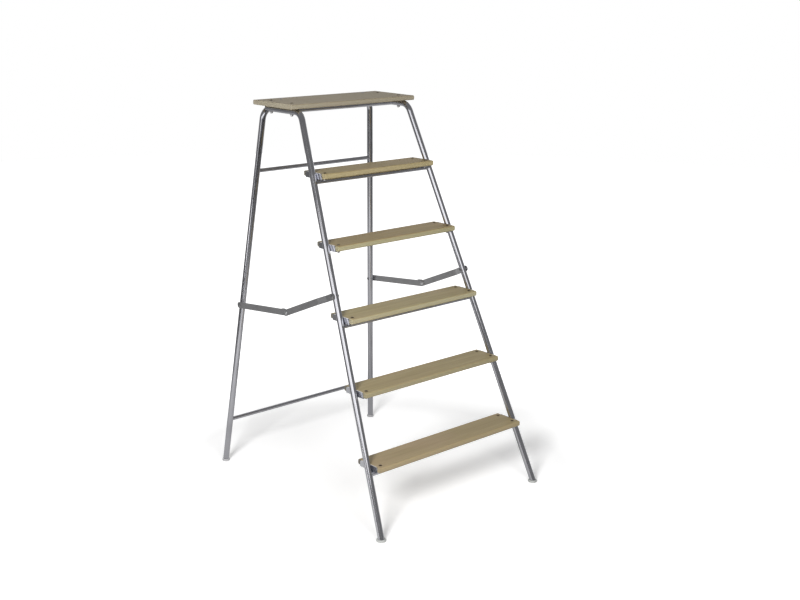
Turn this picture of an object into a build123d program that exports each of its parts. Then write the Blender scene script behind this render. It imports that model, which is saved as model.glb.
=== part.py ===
from build123d import *
import os

# Folding stepladder: bent steel tubes, wooden treads and platform, flat folding braces.
# Millimetres, +Z up, +X to the right of someone facing the treads, +Y towards the rear legs.
# The origin is on the floor, in the middle of the footprint.

# Heights
platform_height = 1495.0
first_step = 253.0
step_pitch = 250.0
step_count = 5
upper_rung_height = 1218.0
lower_rung_height = 182.0

# Stance of the legs, measured at their axes
front_foot_half = 407.0
rear_foot_inset = 8.0
top_half = 270.0
front_run = 625.0
rail_run = 231.0
rear_run = 134.0

# Steel tube
tube_radius = 12.0
tube_wall = 1.5
bend_radius = 45.0
tread_cross_radius = 9.5
platform_cross_radius = 11.0
rung_radius = 8.0
thin_wall = 1.2
rail_clearance = 10.0
platform_cross_reach = 90.0

# Wooden boards
board_edge = 6.0
board_end = 1.5
tread_thickness = 20.0
tread_depth = 125.0
tread_overhang = 58.0
platform_thickness = 18.0
platform_side = 39.0
platform_setback = 3.0
platform_overhang = 16.0

# Angle brackets that carry the ends of the treads
bracket_thickness = 3.0
bracket_end = 9.5
bracket_flange = 36.0
bracket_corner = 7.0
weld_depth = 1.5
braced_steps = (1, 3, 5)

# Bolts and nuts
tread_bolt_radius = 3.0
tread_bolt_inset = 20.0
tread_bolt_gauge = 76.0
rail_bolt_radius = 4.0
rail_bolt_front = 55.0
rail_bolt_rear = 26.0
hole_clearance = 0.25
head_overlap = 4.0
head_height = 2.6
nut_overlap = 2.8
nut_height = 5.0
bolt_tail = 2.0

# Hinge straps round the rear cross bar
strap_thickness = 2.0
strap_width = 25.0
strap_inset = 62.0
strap_tab = 40.0
strap_bolt_reach = 27.0
pivot_clearance = 0.05

# Moulded feet, each a disc under the end of a leg and a plug inside it
front_foot_radius = 17.5
front_foot_height = 8.0
rear_foot_radius = 14.5
rear_foot_height = 9.0
foot_plug = 35.0
foot_edge = 2.5

# Folding braces, two flat links on each side
brace_width = 25.0
brace_thickness = 3.0
brace_gap = 1.7
brace_play = 0.2
front_pivot_rise = 72.0
rear_pivot_height = 675.0
brace_hinge_reach = 264.0
brace_sag = 46.0
joggle_start = 34.0
joggle_length = 40.0
pivot_radius = 4.0
rivet_overlap = 3.5
rivet_height = 3.0
tail_overlap = 2.0
tail_height = 1.0
stop_reach = 22.0
stop_width = 12.0
stop_thickness = 3.0
stop_gap = 0.3

# Places worked out from the sizes above
board_under = platform_height - platform_thickness
rail_z = board_under - tube_radius
bar_z = board_under - strap_thickness - pivot_clearance - tube_radius
foot_spread = front_run + rail_run + rear_run
front_reach = front_foot_radius - front_run * front_foot_height / rail_z
rear_reach = rear_foot_radius - rear_run * rear_foot_height / bar_z
front_y = (front_reach - foot_spread - rear_reach) / 2
rear_y = front_y + foot_spread
rail_y = front_y + front_run
bar_y = rail_y + rail_run
rail_end_y = bar_y - tube_radius - rail_clearance
platform_front = rail_y + platform_setback
platform_depth = bar_y + platform_overhang - platform_front
platform_y = platform_front + platform_depth / 2
platform_width = 2 * (top_half + platform_side)
platform_cross_y = rail_y + platform_cross_reach
strap_x = top_half - strap_inset
rear_foot_half = front_foot_half - rear_foot_inset
bracket_height = tread_thickness + bracket_thickness
bracket_length = tread_bolt_gauge + 2 * bracket_end
base_align = (Align.CENTER, Align.CENTER, Align.MIN)
top_align = (Align.CENTER, Align.CENTER, Align.MAX)
outward = Vector(1, 0, 0)


def step_top(step):
    """Height of the upper face of a tread, counted from the floor."""
    return first_step + step_pitch * (step - 1)


def front_leg(z):
    """Point on the axis of the right front leg, at height z."""
    share = z / rail_z
    x = front_foot_half + (top_half - front_foot_half) * share
    return Vector(x, front_y + front_run * share, z)


def rear_leg(z):
    """Point on the axis of the right rear leg, at height z."""
    share = z / bar_z
    x = rear_foot_half + (top_half - rear_foot_half) * share
    return Vector(x, rear_y - rear_run * share, z)


def leg_plane(leg, distance=0.0):
    """Plane square to the right leg, at a distance up its axis from the floor."""
    direction = (leg(rail_z) - leg(0)).normalized()
    return Plane(leg(0) + direction * distance, z_dir=direction)


def cut_leg(leg):
    """Cut the outside of the right leg away from the part in hand."""
    with Locations(leg_plane(leg)):
        Cylinder(tube_radius, 3 * platform_height, mode=Mode.SUBTRACT)


def cut_across(point, radius, length):
    """Drill along X through a point of the part in hand."""
    with Locations(Plane(point, z_dir=outward)):
        Cylinder(radius, length, mode=Mode.SUBTRACT)


def cut_down(points, radius, length):
    """Drill along Z through points of the part in hand."""
    with Locations(*points):
        Cylinder(radius, length, mode=Mode.SUBTRACT)


def save(part, name):
    """Label a piece and write it as a node of its own."""
    part.label = name
    export_step(part, f"parts/{name}.step")


def save_pair(part, name):
    """Write a piece of the right side, and its mirror image on the left."""
    with BuildPart() as other:
        mirror(part, about=Plane.YZ)
    save(part, f"{name}_right")
    save(other.part, f"{name}_left")


def bent_tube(*points):
    """Round tube along straight lines with bends between them."""
    with BuildPart() as tube:
        with BuildLine() as path:
            FilletPolyline(*points, radius=bend_radius)
        with BuildSketch(Plane(path.line @ 0, z_dir=path.line % 0)):
            Circle(tube_radius)
            Circle(tube_radius - tube_wall, mode=Mode.SUBTRACT)
        sweep()
    return tube


def cross_tube(end, radius, neighbour):
    """Straight tube along X that ends on the axes of two neighbour tubes, shaped to fit them."""
    with BuildPart() as tube:
        middle = Plane((0, end.Y, end.Z), z_dir=outward)
        with Locations(middle):
            Cylinder(radius, end.X, align=base_align)
        with Locations(neighbour):
            Cylinder(tube_radius, 3 * platform_height, mode=Mode.SUBTRACT)
        with Locations(middle):
            Cylinder(radius - thin_wall, end.X, align=base_align, mode=Mode.SUBTRACT)
        mirror(about=Plane.YZ)
    return tube.part


def pin(radius, head, height, length):
    """Pin with a domed head on z = 0 and its shank below."""
    with BuildPart() as one:
        with BuildSketch(Plane.XZ):
            with BuildLine():
                dome = RadiusArc((0, height), (head, 0), (head**2 + height**2) / (2 * height))
                Polyline(dome @ 1, (radius, 0), (radius, -length), (0, -length), dome @ 0)
            make_face()
        revolve(axis=Axis.Z)
    return one.part


def nut(radius):
    """Hexagon nut under z = 0."""
    with BuildPart() as one:
        with BuildSketch():
            RegularPolygon(radius + nut_overlap, 6)
            Circle(radius, mode=Mode.SUBTRACT)
        extrude(amount=-nut_height)
    return one.part


def spread(piece, points):
    """Copies of a small piece at each point, as one group."""
    with BuildPart() as group:
        with Locations(*points):
            add(piece)
    return group.part


def save_fasteners(name, radius, stack, points):
    """Bolts with their heads on the points, and their nuts under a stack of the given thickness."""
    bolt = pin(radius, radius + head_overlap, head_height, stack + nut_height + bolt_tail)
    save(spread(bolt, points), f"{name}_bolts")
    save(spread(nut(radius), [point - Vector(0, 0, stack) for point in points]), f"{name}_nuts")


def board(width, depth, thickness, y, bolt_points, bolt_radius):
    """Board with round long edges, eased ends and bolt holes, with its upper face under the bolts' heads."""
    with BuildPart() as plank:
        with BuildSketch(Plane.YZ):
            with Locations((y, bolt_points[0].Z - thickness / 2)):
                RectangleRounded(depth, thickness, board_edge)
        extrude(amount=width / 2, both=True)
        fillet(plank.faces().filter_by(Axis.X).edges(), board_end)
        cut_down(bolt_points, bolt_radius + hole_clearance, 3 * thickness)
    return plank.part


def both_sides(points):
    """Points on the right, followed by their mirror images on the left."""
    return points + [Vector(-point.X, point.Y, point.Z) for point in points]


os.makedirs("parts", exist_ok=True)

# Places of the platform's bolts and of the hinge straps' bolts, on top of the board
rail_bolt_ys = (rail_y + rail_bolt_front, rail_end_y - rail_bolt_rear)
rail_bolts = both_sides([Vector(top_half, y, platform_height) for y in rail_bolt_ys])
strap_bolts = both_sides([Vector(strap_x, bar_y - strap_bolt_reach, platform_height)])

# Brace pivots and mid hinge, on the right side
front_pivot = front_leg(step_top(braced_steps[1]) + front_pivot_rise)
rear_pivot = rear_leg(rear_pivot_height)
pivot_slope = (rear_pivot.Z - front_pivot.Z) / (rear_pivot.Y - front_pivot.Y)
hinge_y = front_pivot.Y + brace_hinge_reach
hinge_z = front_pivot.Z + pivot_slope * brace_hinge_reach - brace_sag
front_link_x = front_pivot.X + tube_radius + brace_gap
rear_link_x = rear_pivot.X + tube_radius + brace_gap
hinge_x = rear_link_x + brace_thickness + brace_play
rivet_head = pivot_radius + rivet_overlap

# Front tubes: each leg bends back at the top into the rail under the platform
rail_end = Vector(top_half, rail_end_y, rail_z)
front_tube = bent_tube(front_leg(0), front_leg(rail_z), rail_end)
with front_tube:
    split(bisect_by=Plane.XY.offset(front_foot_height))
    cut_down(rail_bolts[:2], rail_bolt_radius + hole_clearance, 6 * tube_radius + 2 * platform_thickness)
    cut_across(front_pivot, pivot_radius, 4 * tube_radius)
save_pair(front_tube.part, "front_tube")

# Rear tube: one tube bent into both rear legs and the cross bar that the ladder folds on
right_foot, right_bend, left_foot, left_bend = both_sides([rear_leg(0), rear_leg(bar_z)])
rear_tube = bent_tube(left_foot, left_bend, right_bend, right_foot)
with rear_tube:
    split(bisect_by=Plane.XY.offset(rear_foot_height))
    cut_across(Vector(0, rear_pivot.Y, rear_pivot.Z), pivot_radius, 4 * rear_foot_half)
save(rear_tube.part, "rear_tube")

# Cross tubes: two rungs between the rear legs, and one tube between the platform's rails
for name, height in (("upper", upper_rung_height), ("lower", lower_rung_height)):
    save(cross_tube(rear_leg(height), rung_radius, leg_plane(rear_leg)), f"rear_{name}_rung")
rail_point = Vector(top_half, platform_cross_y, rail_z)
rail_plane = Plane(rail_point, z_dir=(0, 1, 0))
save(cross_tube(rail_point, platform_cross_radius, rail_plane), "platform_cross_tube")

# Feet: a round disc flat on the floor under the level end of the leg, and a plug inside the leg
foot_kinds = (
    ("front_foot", front_leg, front_foot_radius, front_foot_height),
    ("rear_foot", rear_leg, rear_foot_radius, rear_foot_height),
)
for name, leg, radius, height in foot_kinds:
    with BuildPart() as foot:
        with Locations(leg_plane(leg)):
            Cylinder(tube_radius - tube_wall, foot_plug, align=base_align)
        split(bisect_by=Plane.XY.offset(height))
        with Locations(leg(height)):
            Cylinder(radius, height, align=top_align)
        fillet(foot.edges().filter_by(GeomType.CIRCLE).group_by(Axis.Z)[1], foot_edge)
    save_pair(foot.part, name)

# Treads, the angle brackets that carry their ends, and the cross tubes under some of them
tread_bolts = []
for step in range(1, step_count + 1):
    top = step_top(step)
    under = top - tread_thickness
    leg = front_leg(top)
    tread_half = leg.X - tube_radius + weld_depth - bracket_thickness
    tread_y = leg.Y - tread_overhang + tread_depth / 2
    bolt_ys = (tread_y - tread_bolt_gauge / 2, tread_y + tread_bolt_gauge / 2)
    right_bolts = [Vector(tread_half - tread_bolt_inset, y, top) for y in bolt_ys]
    bolts = both_sides(right_bolts)
    tread_bolts += bolts
    tread = board(2 * tread_half, tread_depth, tread_thickness, tread_y, bolts, tread_bolt_radius)
    save(tread, f"tread_{step}")

    with BuildPart() as bracket:
        with BuildSketch(Plane.XZ.offset(-tread_y)):
            with Locations((tread_half, top)):
                Rectangle(bracket_thickness, bracket_height, align=(Align.MIN, Align.MAX))
            with Locations((tread_half, under)):
                Rectangle(bracket_flange, bracket_thickness, align=(Align.MAX, Align.MAX))
        extrude(amount=bracket_length / 2, both=True)
        ear_corners = bracket.edges().filter_by(Axis.X).group_by(Axis.Z)[-1]
        toe_corners = bracket.edges().filter_by(Axis.Z).group_by(Axis.X)[0]
        fillet(ear_corners + toe_corners, bracket_corner)
        cut_down(right_bolts, tread_bolt_radius + hole_clearance, 3 * bracket_height)
        cut_leg(front_leg)
    save_pair(bracket.part, f"tread_bracket_{step}")

    if step in braced_steps:
        tube_end = front_leg(top - bracket_height - tread_cross_radius)
        save(cross_tube(tube_end, tread_cross_radius, leg_plane(front_leg)), f"tread_cross_tube_{step}")
save_fasteners("tread", tread_bolt_radius, bracket_height, tread_bolts)

# Platform board, bolted down to the rails and to the hinge straps
platform_bolts = rail_bolts + strap_bolts
platform = board(platform_width, platform_depth, platform_thickness, platform_y, platform_bolts, rail_bolt_radius)
save(platform, "platform")
save_fasteners("platform", rail_bolt_radius, platform_thickness + 2 * tube_radius, rail_bolts)

# Hinge straps: loops round the rear cross bar, each with a folded tab bolted up to the board
with BuildPart() as strap:
    with BuildSketch(Plane.YZ.offset(strap_x)):
        with Locations((bar_y, bar_z)):
            Circle(tube_radius + pivot_clearance + strap_thickness)
        with Locations((bar_y, board_under)):
            Rectangle(strap_tab, 2 * strap_thickness, align=(Align.MAX, Align.MAX))
        with Locations((bar_y, bar_z)):
            Circle(tube_radius + pivot_clearance, mode=Mode.SUBTRACT)
    extrude(amount=strap_width / 2, both=True)
    cut_down(strap_bolts[:1], rail_bolt_radius + hole_clearance, 4 * platform_thickness)
save_pair(strap.part, "hinge_strap")
save_fasteners("hinge_strap", rail_bolt_radius, platform_thickness + 2 * strap_thickness, strap_bolts)

# Washers on the legs, and the rivets through leg, washer and link
for name, leg, pivot in (("front", front_leg, front_pivot), ("rear", rear_leg, rear_pivot)):
    washer_face = pivot + outward * (tube_radius + brace_gap - brace_play)
    with BuildPart() as washers:
        with Locations(Plane(washer_face, z_dir=-outward)):
            Cylinder(rivet_head, brace_gap + weld_depth, align=base_align)
        cut_leg(leg)
        cut_across(pivot, pivot_radius, 6 * tube_radius)
        mirror(about=Plane.YZ)
    save(washers.part, f"{name}_brace_washers")

    rivet_length = 2 * tube_radius + brace_gap + brace_thickness + brace_play
    head_face = pivot + outward * (rivet_length - tube_radius)
    with BuildPart() as rivets:
        with Locations(Plane(pivot, z_dir=-outward)):
            Cylinder(pivot_radius + tail_overlap, tube_radius + tail_height, align=base_align)
        cut_leg(leg)
        with Locations(Plane(head_face, z_dir=outward)):
            add(pin(pivot_radius, rivet_head, rivet_height, rivet_length))
        mirror(about=Plane.YZ)
    save(rivets.part, f"{name}_brace_rivets")

# Rear links: straight flat bars from the rear legs to the mid hinge
hinge = Vector(0, hinge_y, hinge_z)
rear_start = Vector(0, rear_pivot.Y, rear_pivot.Z)
rear_length = (hinge - rear_start).length
rear_face = rear_start + outward * rear_link_x
rear_plane = Plane(rear_face, x_dir=hinge - rear_start, z_dir=outward)
with BuildPart() as rear_link:
    with BuildSketch(rear_plane):
        with Locations((rear_length / 2, 0)):
            SlotCenterToCenter(rear_length, brace_width)
        Circle(pivot_radius + pivot_clearance, mode=Mode.SUBTRACT)
        with Locations((rear_length, 0)):
            Circle(pivot_radius, mode=Mode.SUBTRACT)
    extrude(amount=brace_thickness)
save_pair(rear_link.part, "rear_brace_link")

# Front links: flat bars set outwards by a joggle, so that they lie outside the rear links,
# with a stop folded over the upper edge of the rear link at the mid hinge
front_start = Vector(0, front_pivot.Y, front_pivot.Z)
front_length = (hinge - front_start).length
front_edge = Plane(front_start, x_dir=hinge - front_start, z_dir=(hinge - front_start).cross(outward))
front_plane = Plane(front_start, x_dir=hinge - front_start, z_dir=outward)
stop_plane = Plane(hinge, x_dir=rear_start - hinge, z_dir=outward)
stop_under = brace_width / 2 + stop_gap
inner_face = (
    (-brace_width, front_link_x),
    (joggle_start, front_link_x),
    (joggle_start + joggle_length, hinge_x),
    (front_length + brace_width, hinge_x),
)
outer_face = [(x, y + brace_thickness) for x, y in inner_face]
with BuildPart() as front_link:
    with BuildSketch(front_edge):
        with BuildLine():
            Polyline(*inner_face, *reversed(outer_face), close=True)
        make_face()
    extrude(amount=brace_width, both=True)
    with BuildSketch(front_plane):
        with Locations((front_length / 2, 0)):
            SlotCenterToCenter(front_length, brace_width)
        Circle(pivot_radius + pivot_clearance, mode=Mode.SUBTRACT)
        with Locations((front_length, 0)):
            Circle(pivot_radius, mode=Mode.SUBTRACT)
    extrude(amount=2 * hinge_x, mode=Mode.INTERSECT)
    with BuildSketch(stop_plane.offset(hinge_x)):
        with Locations((0, pivot_radius)):
            Rectangle(stop_reach, stop_under + stop_thickness - pivot_radius, align=(Align.MIN, Align.MIN))
    extrude(amount=brace_thickness)
    with BuildSketch(stop_plane.offset(rear_link_x)):
        with Locations((stop_reach, stop_under)):
            Rectangle(stop_width, stop_thickness, align=(Align.MAX, Align.MIN))
    extrude(amount=hinge_x - rear_link_x)
save_pair(front_link.part, "front_brace_link")

# Mid hinge: the outer half of its rivet stays in the front link, the inner half in the rear link
half_rivet = pin(pivot_radius, rivet_head, rivet_height, brace_thickness)
with BuildPart() as outer_half:
    with Locations(Plane(hinge + outward * (hinge_x + brace_thickness), z_dir=outward)):
        add(half_rivet)
save_pair(outer_half.part, "brace_rivet_outer")
with BuildPart() as inner_half:
    with Locations(Plane(hinge + outward * rear_link_x, z_dir=-outward)):
        add(half_rivet)
save_pair(inner_half.part, "brace_rivet_inner")
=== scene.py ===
import math

import bpy
from mathutils import Matrix, Quaternion, Vector

# Looks of the folding stepladder: wood, plated steel and moulded feet, on a white studio floor.
# Metres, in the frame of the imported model: +Z up, +Y towards the rear legs.

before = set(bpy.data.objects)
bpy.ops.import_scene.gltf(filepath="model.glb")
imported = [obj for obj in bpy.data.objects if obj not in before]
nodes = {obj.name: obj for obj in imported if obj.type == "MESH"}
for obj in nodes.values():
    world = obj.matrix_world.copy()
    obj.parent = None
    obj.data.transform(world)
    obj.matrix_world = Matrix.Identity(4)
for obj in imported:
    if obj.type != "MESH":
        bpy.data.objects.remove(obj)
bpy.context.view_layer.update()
scene = bpy.context.scene
scene.view_settings.view_transform = "Standard"

# Camera, as fitted to the photograph
image_width = 800
focal_pixels = 1220.67
sensor_width = 36.0
clip_distance = 60.0
camera_place = Vector((-3.0713, -3.4872, 1.9770))
camera_yaw = math.radians(-42.48)
camera_pitch = math.radians(-15.08)
camera_roll = math.radians(0.6736)

# Studio: white where it is seen, but in the steel's reflections dark, with a white backdrop on one side
white_level = 1.0
ambient_level = 0.30
studio_dark = 0.20
backdrop_bearing = math.radians(47.52)
backdrop_way = (math.cos(backdrop_bearing), math.sin(backdrop_bearing), 0.0)
backdrop_span = (0.50, 0.95)

# Floor of white paper, greyer close to the key lamp so that it looks evenly lit. A glow that only the camera
# sees takes it to pure white away from the ladder, and lightens one patch of shadow.
floor_radius = 9.0
floor_sides = 96
floor_drop = 0.0005
floor_centre = (0.0, 0.0, 0.0)
floor_colour = 0.90
paper_dim = 0.72
paper_reach = (4.60, 5.15)
floor_glow = 0.22
glow_reach = (0.80, 1.40)
patch_centre = (0.50, 0.27, 0.0)
patch_glow = 0.20
patch_reach = (0.10, 0.55)

# Floor as the steel reflects it: grey near the ladder, and further off white towards the backdrop
# and dark on the other side
mirror_centre = (-0.5, 0.0, 0.0)
mirror_reach = (1.2, 2.4)
mirror_level = 0.58
mirror_dark = 0.12
mirror_back = 1.0
mirror_span = (-0.20, 0.95)

# Lamps, each with its place, size, power in watts and roll: two that light the ladder without showing
# in its steel, and four cards that only show as reflections there
lamp_target = Vector((0.0, 0.0, 0.6))
key_place = Vector((-3.70, -2.20, 2.75))
lamps = {
    "key": (key_place, (1.2, 1.2), 250.0, 0.0),
    "fill": (Vector((-1.88, -4.03, 2.40)), (1.5, 1.5), 80.0, 0.0),
}
cards = {
    "left_card": (Vector((-4.30, -1.35, 1.94)), (3.8, 1.6), 20.5, math.radians(16.0)),
    "low_card": (Vector((-4.50, 0.0, 0.30)), (1.0, 0.5), 3.2, 0.0),
    "right_card": (Vector((-2.75, -3.89, 2.52)), (2.8, 1.5), 17.0, math.radians(11.0)),
    "high_card": (Vector((-3.68, -3.19, 3.65)), (1.6, 0.8), 3.0, 0.0),
}

# Boards from different planks: tint, painted light and shade colour of the side faces, painted shade on the
# ends
board_looks = {
    "tread_1": ((1.12, 1.11, 1.10), (0.256, 0.210, 0.126), 0.85),
    "tread_2": ((1.12, 1.13, 1.09), (0.226, 0.207, 0.131), 0.85),
    "tread_3": ((1.18, 1.22, 1.16), (0.300, 0.284, 0.194), 0.85),
    "tread_4": ((1.05, 0.99, 0.85), (0.281, 0.278, 0.180), 0.85),
    "tread_5": ((1.05, 1.03, 0.90), (0.283, 0.243, 0.140), 0.85),
    "platform": ((1.03, 1.06, 1.24), (0.232, 0.218, 0.175), 0.10),
}

# Figure of the wood, with scales per metre along, across and through a board
plank_step = (1.7, 0.31, 0.47)
streak_scale = (1.6, 55.0, 55.0)
grain_span = (0.30, 0.72)
grain_dark = (0.240, 0.192, 0.101)
grain_pale = (0.316, 0.258, 0.140)
wave_scale = (1.2, 9.0, 9.0)
wave_push = 0.035
ring_stretch = (0.10, 1.0, 1.0)
ring_turn = (0.0, 0.03, 0.02)
ring_step = 0.13
heart_side = 0.02
heart_step = 0.03
heart_places = 3
heart_depth = 0.055
ring_scale = 42.0
ring_distortion = 1.2
ring_detail = 2.0
ring_share = 0.30
ring_height = 0.3
ring_colour = (0.205, 0.160, 0.086)
warm_scale = (3.5, 8.0, 8.0)
warm_span = (0.42, 0.72)
warm_share = (0.0, 0.50)
warm_colour = (0.318, 0.236, 0.154)
fibre_scale = (7.0, 620.0, 620.0)
fibre_span = (0.35, 0.75)
fibre_share = (0.30, 0.0)
fibre_height = 0.7
fibre_colour = (0.140, 0.105, 0.058)

# Painted light and shade: a colour of its own on faces that don't look up or down, dark ends most towards the
# rear
side_shading_span = (0.35, 0.95)
side_shading_share = (0.75, 0.0)
side_shading_streak_span = (0.2, 0.8)
side_shading_streak_share = (0.6, 1.0)
end_shade_span = (0.35, 0.85)
end_shade_rear_span = (0.3, 0.7)
end_shade_rear_share = (0.25, 1.0)
end_shade_colour = (0.085, 0.082, 0.076)
wood_rough_span = (0.3, 0.7)
wood_rough = (0.62, 0.46)
wood_specular = 0.30
wood_bump = 0.35
wood_relief = 0.0006

# Kinds of steel: words in the names of their nodes, axis of the drawn lines, colour and roughness
steel_looks = {
    "plated_legs": (("front_tube", "rear_tube"), "Z", (0.640, 0.640, 0.680), 0.11),
    "plated_rungs": (("_rung", "cross_tube"), "X", (0.640, 0.640, 0.680), 0.14),
    "plated_angle": (("tread_bracket", "hinge_strap_left", "hinge_strap_right"), "Y",
                     (0.74, 0.75, 0.79), 0.14),
    "plated_bar": (("brace_link",), "Y", (0.65, 0.65, 0.66), 0.34),
    "dull_zinc": (("washers", "brace_rivets", "strap_bolts"), "Z", (0.40, 0.40, 0.41), 0.42),
    "bright_zinc": (("nuts", "rivet_outer", "rivet_inner"), "Z", (0.80, 0.80, 0.81), 0.30),
    "browned_bolts": (("tread_bolts", "platform_bolts"), "Z", (0.17, 0.13, 0.09), 0.40),
}

# Surface of the steel: fine drawn lines, smudges and scattered dull spots
drawn_along = 9.0
drawn_across = 420.0
drawn_span = (0.25, 0.75)
drawn_rough = 0.03
drawn_bump = 0.02
drawn_relief = 0.0002
smudge_scale = 14.0
smudge_span = (0.30, 0.70)
smudge_tone = (0.90, 1.04)
smudge_rough_span = (0.40, 0.75)
smudge_rough = (0.0, 0.06)
spot_scale = 160.0
spot_span = (0.62, 0.76)
spot_share = (0.0, 0.6)
spot_tint = 0.15
spot_rough = 0.08
spot_colour = (0.30, 0.29, 0.28)

# Moulded feet: a fine grain, and scuffs that gather towards the floor
foot_colours = {
    "front_foot": (0.34, 0.35, 0.34),
    "rear_foot": (0.36, 0.36, 0.37),
}
mould_scale = 900.0
mould_bump = 0.15
mould_relief = 0.0002
scuff_scale = 120.0
scuff_span = (0.35, 0.70)
scuff_share = (0.0, 0.55)
scuff_height = (0.0, 0.012)
scuff_fade = (1.0, 0.25)
scuff_colour = (0.20, 0.19, 0.18)
foot_rough_span = (0.30, 0.70)
foot_rough = (0.42, 0.62)


def make_camera():
    """Camera at the photograph's place, turned by yaw, pitch and a slight roll."""
    forward = Vector((-math.sin(camera_yaw) * math.cos(camera_pitch),
                      math.cos(camera_yaw) * math.cos(camera_pitch),
                      math.sin(camera_pitch)))
    level = Vector((math.cos(camera_yaw), math.sin(camera_yaw), 0.0))
    upright = level.cross(forward)
    right = level * math.cos(camera_roll) + upright * math.sin(camera_roll)
    up = upright * math.cos(camera_roll) - level * math.sin(camera_roll)
    data = bpy.data.cameras.new("camera")
    data.sensor_fit = "HORIZONTAL"
    data.sensor_width = sensor_width
    data.lens = focal_pixels / image_width * sensor_width
    data.clip_end = clip_distance
    camera = bpy.data.objects.new("camera", data)
    turn = Matrix((right, up, -forward)).transposed().to_4x4()
    camera.matrix_world = Matrix.Translation(camera_place) @ turn
    scene.collection.objects.link(camera)
    scene.camera = camera


class Nodes:
    """A node tree with short calls for adding nodes and joining them."""

    def __init__(self, tree):
        self.tree = tree
        tree.nodes.clear()

    def add(self, kind, **settings):
        """New node with the given settings."""
        node = self.tree.nodes.new(kind)
        for key, value in settings.items():
            setattr(node, key, value)
        return node

    def join(self, source, target):
        """Link from an output to an input."""
        self.tree.links.new(source, target)

    def fill(self, socket, value):
        """Set a socket to a constant, or join it to another socket."""
        if isinstance(value, bpy.types.NodeSocket):
            self.join(value, socket)
        elif socket.type == "RGBA":
            socket.default_value = (*value, 1.0)
        else:
            socket.default_value = value

    def coordinates(self, kind):
        """Texture coordinates of one kind."""
        return self.add("ShaderNodeTexCoord").outputs[kind]

    def place(self, vector, scale=(1, 1, 1), offset=(0, 0, 0), turn=(0, 0, 0)):
        """Coordinates that are scaled, turned and shifted."""
        node = self.add("ShaderNodeMapping")
        self.join(vector, node.inputs["Vector"])
        node.inputs["Scale"].default_value = scale
        node.inputs["Location"].default_value = offset
        node.inputs["Rotation"].default_value = turn
        return node.outputs["Vector"]

    def split(self, vector):
        """Outputs X, Y and Z of a vector."""
        node = self.add("ShaderNodeSeparateXYZ")
        self.join(vector, node.inputs["Vector"])
        return node.outputs

    def math(self, operation, first, second=0.0):
        """Result of one operation on a number, or on two."""
        node = self.add("ShaderNodeMath", operation=operation)
        self.fill(node.inputs[0], first)
        self.fill(node.inputs[1], second)
        return node.outputs[0]

    def between(self, share, full, none):
        """Number that is one value at a full share, and another at none."""
        rest = self.math("SUBTRACT", 1.0, share)
        return self.math("ADD", self.math("MULTIPLY", share, full), self.math("MULTIPLY", rest, none))

    def spread(self, value, span, result):
        """Number moved from one span to another, and held at its ends."""
        node = self.add("ShaderNodeMapRange")
        self.join(value, node.inputs["Value"])
        node.inputs["From Min"].default_value, node.inputs["From Max"].default_value = span
        node.inputs["To Min"].default_value, node.inputs["To Max"].default_value = result
        return node.outputs["Result"]

    def measure(self, operation, vector, other):
        """Number worked out from a vector and a constant one, such as their distance."""
        node = self.add("ShaderNodeVectorMath", operation=operation)
        self.join(vector, node.inputs[0])
        node.inputs[1].default_value = other
        return node.outputs["Value"]

    def noise(self, vector, scale=1.0, detail=3.0, roughness=0.5):
        """Soft noise from 0 to 1."""
        node = self.add("ShaderNodeTexNoise")
        self.join(vector, node.inputs["Vector"])
        node.inputs["Scale"].default_value = scale
        node.inputs["Detail"].default_value = detail
        node.inputs["Roughness"].default_value = roughness
        return node.outputs["Fac"]

    def ramp(self, value, span, first, second):
        """Colour that goes from one to another over a span of the value."""
        node = self.add("ShaderNodeValToRGB")
        self.join(value, node.inputs["Fac"])
        for mark, position, colour in zip(node.color_ramp.elements, span, (first, second)):
            mark.position = position
            mark.color = (*colour, 1.0)
        return node.outputs["Color"]

    def mix(self, share, first, second, blend="MIX"):
        """Blend of two colours."""
        node = self.add("ShaderNodeMix", data_type="RGBA", blend_type=blend)
        self.fill(node.inputs["Factor"], share)
        self.fill(node.inputs["A"], first)
        self.fill(node.inputs["B"], second)
        return node.outputs["Result"]

    def bump(self, height, strength, distance):
        """Surface normal of a fine relief."""
        node = self.add("ShaderNodeBump")
        node.inputs["Strength"].default_value = strength
        node.inputs["Distance"].default_value = distance
        self.join(height, node.inputs["Height"])
        return node.outputs["Normal"]


def make_world():
    """White for the camera, a dark studio with a white backdrop for reflections, and a grey ambient light."""
    world = bpy.data.worlds.new("studio")
    scene.world = world
    world.use_nodes = True
    n = Nodes(world.node_tree)
    path = n.add("ShaderNodeLightPath").outputs
    towards_backdrop = n.measure("DOT_PRODUCT", n.coordinates("Generated"), backdrop_way)
    mirrored = n.spread(towards_backdrop, backdrop_span, (studio_dark, white_level))
    level = n.between(path["Is Glossy Ray"], mirrored, ambient_level)
    straight = n.math("MAXIMUM", path["Is Camera Ray"], path["Is Transmission Ray"])
    shade = n.add("ShaderNodeBackground")
    n.fill(shade.inputs["Color"], (1.0, 1.0, 1.0))
    n.join(n.between(straight, white_level, level), shade.inputs["Strength"])
    n.join(shade.outputs[0], n.add("ShaderNodeOutputWorld").inputs["Surface"])


def new_material(name):
    """Empty material with nodes, and its node tree."""
    material = bpy.data.materials.new(name)
    material.use_nodes = True
    return material, Nodes(material.node_tree)


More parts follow.
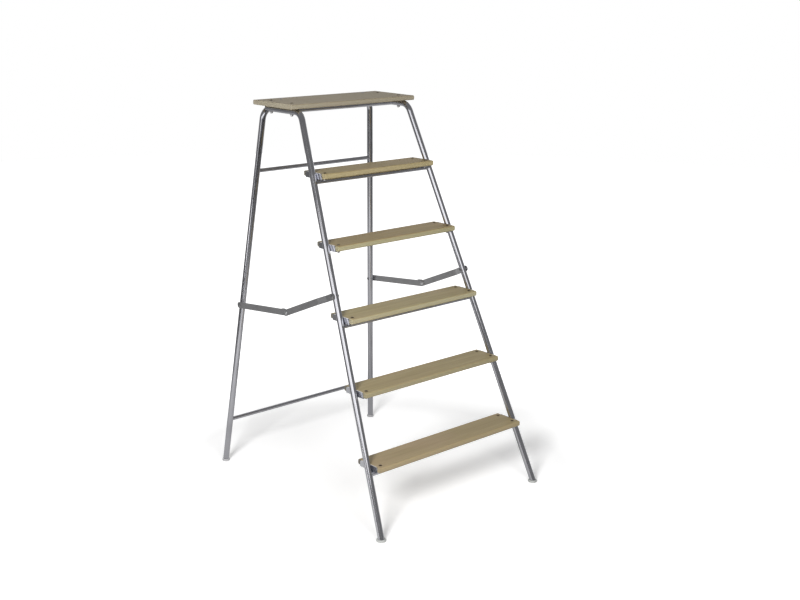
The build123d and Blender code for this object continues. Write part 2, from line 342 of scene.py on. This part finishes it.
def paper_tone(n, place, path):
    """Share of light that the paper gives back to the camera, to reflections and to other surfaces."""
    bearing = n.add("ShaderNodeVectorMath", operation="NORMALIZE")
    n.join(place, bearing.inputs[0])
    towards_backdrop = n.measure("DOT_PRODUCT", bearing.outputs["Vector"], backdrop_way)
    far_level = n.spread(towards_backdrop, mirror_span, (mirror_dark, mirror_back))
    far_share = n.spread(n.measure("DISTANCE", place, mirror_centre), mirror_reach, (0.0, 1.0))
    lit = n.between(far_share, far_level, mirror_level)
    mirrored = n.math("MAXIMUM", path["Is Glossy Ray"], path["Is Transmission Ray"])
    unseen = n.math("MULTIPLY", floor_colour, n.between(mirrored, lit, 1.0))
    seen = n.spread(n.measure("DISTANCE", place, key_place), paper_reach, (paper_dim, floor_colour))
    return n.between(path["Is Camera Ray"], seen, unseen)


def paper_glow(n, place, path):
    """Glow of the paper, which only the camera sees."""
    around = n.spread(n.measure("DISTANCE", place, floor_centre), glow_reach, (floor_glow, white_level))
    patch = n.spread(n.measure("DISTANCE", place, patch_centre), patch_reach, (patch_glow, 0.0))
    return n.math("MULTIPLY", path["Is Camera Ray"], n.math("ADD", around, patch))


def make_floor():
    """Wide round floor of white paper, which keeps the shadow and runs into the white background."""
    bpy.ops.mesh.primitive_circle_add(vertices=floor_sides, radius=floor_radius, fill_type="NGON",
                                      location=(0, 0, -floor_drop))
    floor = bpy.context.object
    floor.name = "floor"
    material, n = new_material("floor_paper")
    path = n.add("ShaderNodeLightPath").outputs
    place = n.coordinates("Object")
    diffuse = n.add("ShaderNodeBsdfDiffuse")
    n.join(paper_tone(n, place, path), diffuse.inputs["Color"])
    glow = n.add("ShaderNodeEmission")
    n.join(paper_glow(n, place, path), glow.inputs["Strength"])
    both = n.add("ShaderNodeAddShader")
    n.join(diffuse.outputs[0], both.inputs[0])
    n.join(glow.outputs[0], both.inputs[1])
    n.join(both.outputs[0], n.add("ShaderNodeOutputMaterial").inputs["Surface"])
    floor.data.materials.append(material)


def make_lamp(name, place, size, power, roll):
    """Rectangular soft lamp aimed at the ladder, rolled so that its right end rises."""
    data = bpy.data.lights.new(name, "AREA")
    data.shape = "RECTANGLE"
    data.size, data.size_y = size
    data.energy = power
    lamp = bpy.data.objects.new(name, data)
    lamp.location = place
    aim = (lamp_target - place).to_track_quat("-Z", "Y")
    lamp.rotation_euler = (aim @ Quaternion((0, 0, 1), roll)).to_euler()
    scene.collection.objects.link(lamp)
    return lamp


def finish_surface(n, **values):
    """Principled surface with the given sockets, each a constant or a joined socket."""
    shader = n.add("ShaderNodeBsdfPrincipled")
    for name, value in values.items():
        n.fill(shader.inputs[name.replace("_", " ")], value)
    n.join(shader.outputs[0], n.add("ShaderNodeOutputMaterial").inputs["Surface"])


def growth_rings(n, place, own, seed):
    """Rings of the tree, cut lengthways and bent by a slow wave, with the heart elsewhere in each board."""
    heart = (ring_step * seed, heart_side - heart_step * (seed % heart_places), heart_depth)
    wave = n.noise(n.place(own, scale=wave_scale))
    bent = n.add("ShaderNodeVectorMath", operation="ADD")
    n.join(n.place(place, scale=ring_stretch, offset=heart, turn=ring_turn), bent.inputs[0])
    n.join(n.math("MULTIPLY", wave, wave_push), bent.inputs[1])
    rings = n.add("ShaderNodeTexWave", wave_type="RINGS", rings_direction="X", wave_profile="SAW")
    n.join(bent.outputs["Vector"], rings.inputs["Vector"])
    rings.inputs["Scale"].default_value = ring_scale
    rings.inputs["Distortion"].default_value = ring_distortion
    rings.inputs["Detail"].default_value = ring_detail
    return rings.outputs["Fac"]


def wood(name, seed, tint, side_shading_colour, end_shade_share):
    """Oiled board with its grain along X, painted light and shade on the side faces, and painted shade on the
    ends.
    """
    material, n = new_material(name)
    place = n.coordinates("Object")
    own = n.place(place, offset=[step * seed for step in plank_step])
    rings = growth_rings(n, place, own, seed)
    fibre = n.noise(n.place(own, scale=fibre_scale), roughness=0.6)
    streak = n.noise(n.place(own, scale=streak_scale), roughness=0.55)
    warmth = n.noise(n.place(own, scale=warm_scale), detail=2.0)
    colour = n.ramp(streak, grain_span, grain_dark, grain_pale)
    colour = n.mix(n.math("MULTIPLY", rings, ring_share), colour, ring_colour)
    colour = n.mix(n.spread(warmth, warm_span, warm_share), colour, warm_colour)
    colour = n.mix(n.spread(fibre, fibre_span, fibre_share), colour, fibre_colour)
    colour = n.mix(1.0, colour, tint, "MULTIPLY")

    facing = n.split(n.add("ShaderNodeNewGeometry").outputs["Normal"])
    # Painted light and shade: the faces that don't look up or down take a colour of their own, streaked by
    # the grain
    side_shading = n.spread(n.math("ABSOLUTE", facing["Z"]), side_shading_span, side_shading_share)
    side_shading = n.math("MULTIPLY", side_shading, n.spread(streak, side_shading_streak_span, side_shading_streak_share))
    colour = n.mix(side_shading, colour, side_shading_colour)
    # Painted shade: the ends of the board go dark grey, most towards the rear
    end_shade = n.spread(n.math("ABSOLUTE", facing["X"]), end_shade_span, (0.0, end_shade_share))
    depth = n.split(n.coordinates("Generated"))["Y"]
    end_shade = n.math("MULTIPLY", end_shade, n.spread(depth, end_shade_rear_span, end_shade_rear_share))
    colour = n.mix(end_shade, colour, end_shade_colour)

    height = n.math("ADD", n.math("MULTIPLY", fibre, fibre_height), n.math("MULTIPLY", rings, ring_height))
    finish_surface(n, Base_Color=colour, Roughness=n.spread(fibre, wood_rough_span, wood_rough),
                   Specular_IOR_Level=wood_specular, Normal=n.bump(height, wood_bump, wood_relief))
    return material


def plated(name, axis, colour, rough):
    """Bright plated steel with fine drawn lines along one axis, smudges and scattered dull spots."""
    material, n = new_material(name)
    place = n.coordinates("Object")
    lines = [drawn_along if letter == axis else drawn_across for letter in "XYZ"]
    drawn = n.noise(n.place(place, scale=lines), detail=2.0, roughness=0.6)
    smudge = n.noise(place, smudge_scale, detail=4.0, roughness=0.6)
    spots = n.spread(n.noise(place, spot_scale, roughness=0.6), spot_span, spot_share)
    black, white = (0.0, 0.0, 0.0), (1.0, 1.0, 1.0)
    tone = n.ramp(n.spread(smudge, smudge_span, smudge_tone), (0.0, 1.0), black, white)
    base = n.mix(1.0, colour, tone, "MULTIPLY")
    base = n.mix(n.math("MULTIPLY", spots, spot_tint), base, spot_colour)
    lined = n.spread(drawn, drawn_span, (rough - drawn_rough, rough + drawn_rough))
    dulled = n.math("ADD", n.spread(smudge, smudge_rough_span, smudge_rough),
                    n.math("MULTIPLY", spots, spot_rough))
    finish_surface(n, Base_Color=base, Metallic=1.0, Roughness=n.math("ADD", lined, dulled),
                   Normal=n.bump(drawn, drawn_bump, drawn_relief))
    return material


def moulded(name, colour):
    """Moulded plastic with a fine texture and scuffs towards the floor."""
    material, n = new_material(name)
    place = n.coordinates("Object")
    grain = n.noise(place, mould_scale, detail=2.0)
    scuff = n.noise(place, scuff_scale, detail=4.0, roughness=0.65)
    low = n.spread(n.split(place)["Z"], scuff_height, scuff_fade)
    base = n.mix(n.math("MULTIPLY", low, n.spread(scuff, scuff_span, scuff_share)), colour, scuff_colour)
    finish_surface(n, Base_Color=base, Roughness=n.spread(scuff, foot_rough_span, foot_rough),
                   Normal=n.bump(grain, mould_bump, mould_relief))
    return material


def holding(*words):
    """Names of the CAD nodes that have one of the words in them."""
    return [name for name in nodes if any(word in name for word in words)]


def dress(names, material):
    """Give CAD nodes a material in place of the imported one."""
    for name in names:
        for holder in nodes[name].material_slots:
            holder.material = material


def dress_nodes():
    """Steel, wood and plastic for every node."""
    for name, (words, *look) in steel_looks.items():
        dress(holding(*words), plated(name, *look))
    for seed, (name, look) in enumerate(board_looks.items(), 1):
        dress([name], wood(f"wood_{name}", seed, *look))
    for name, colour in foot_colours.items():
        dress(holding(name), moulded(f"{name}_plastic", colour))


make_camera()
make_world()
make_floor()
for name, settings in lamps.items():
    make_lamp(name, *settings).visible_glossy = False
for name, settings in cards.items():
    make_lamp(name, *settings).visible_diffuse = False
dress_nodes()
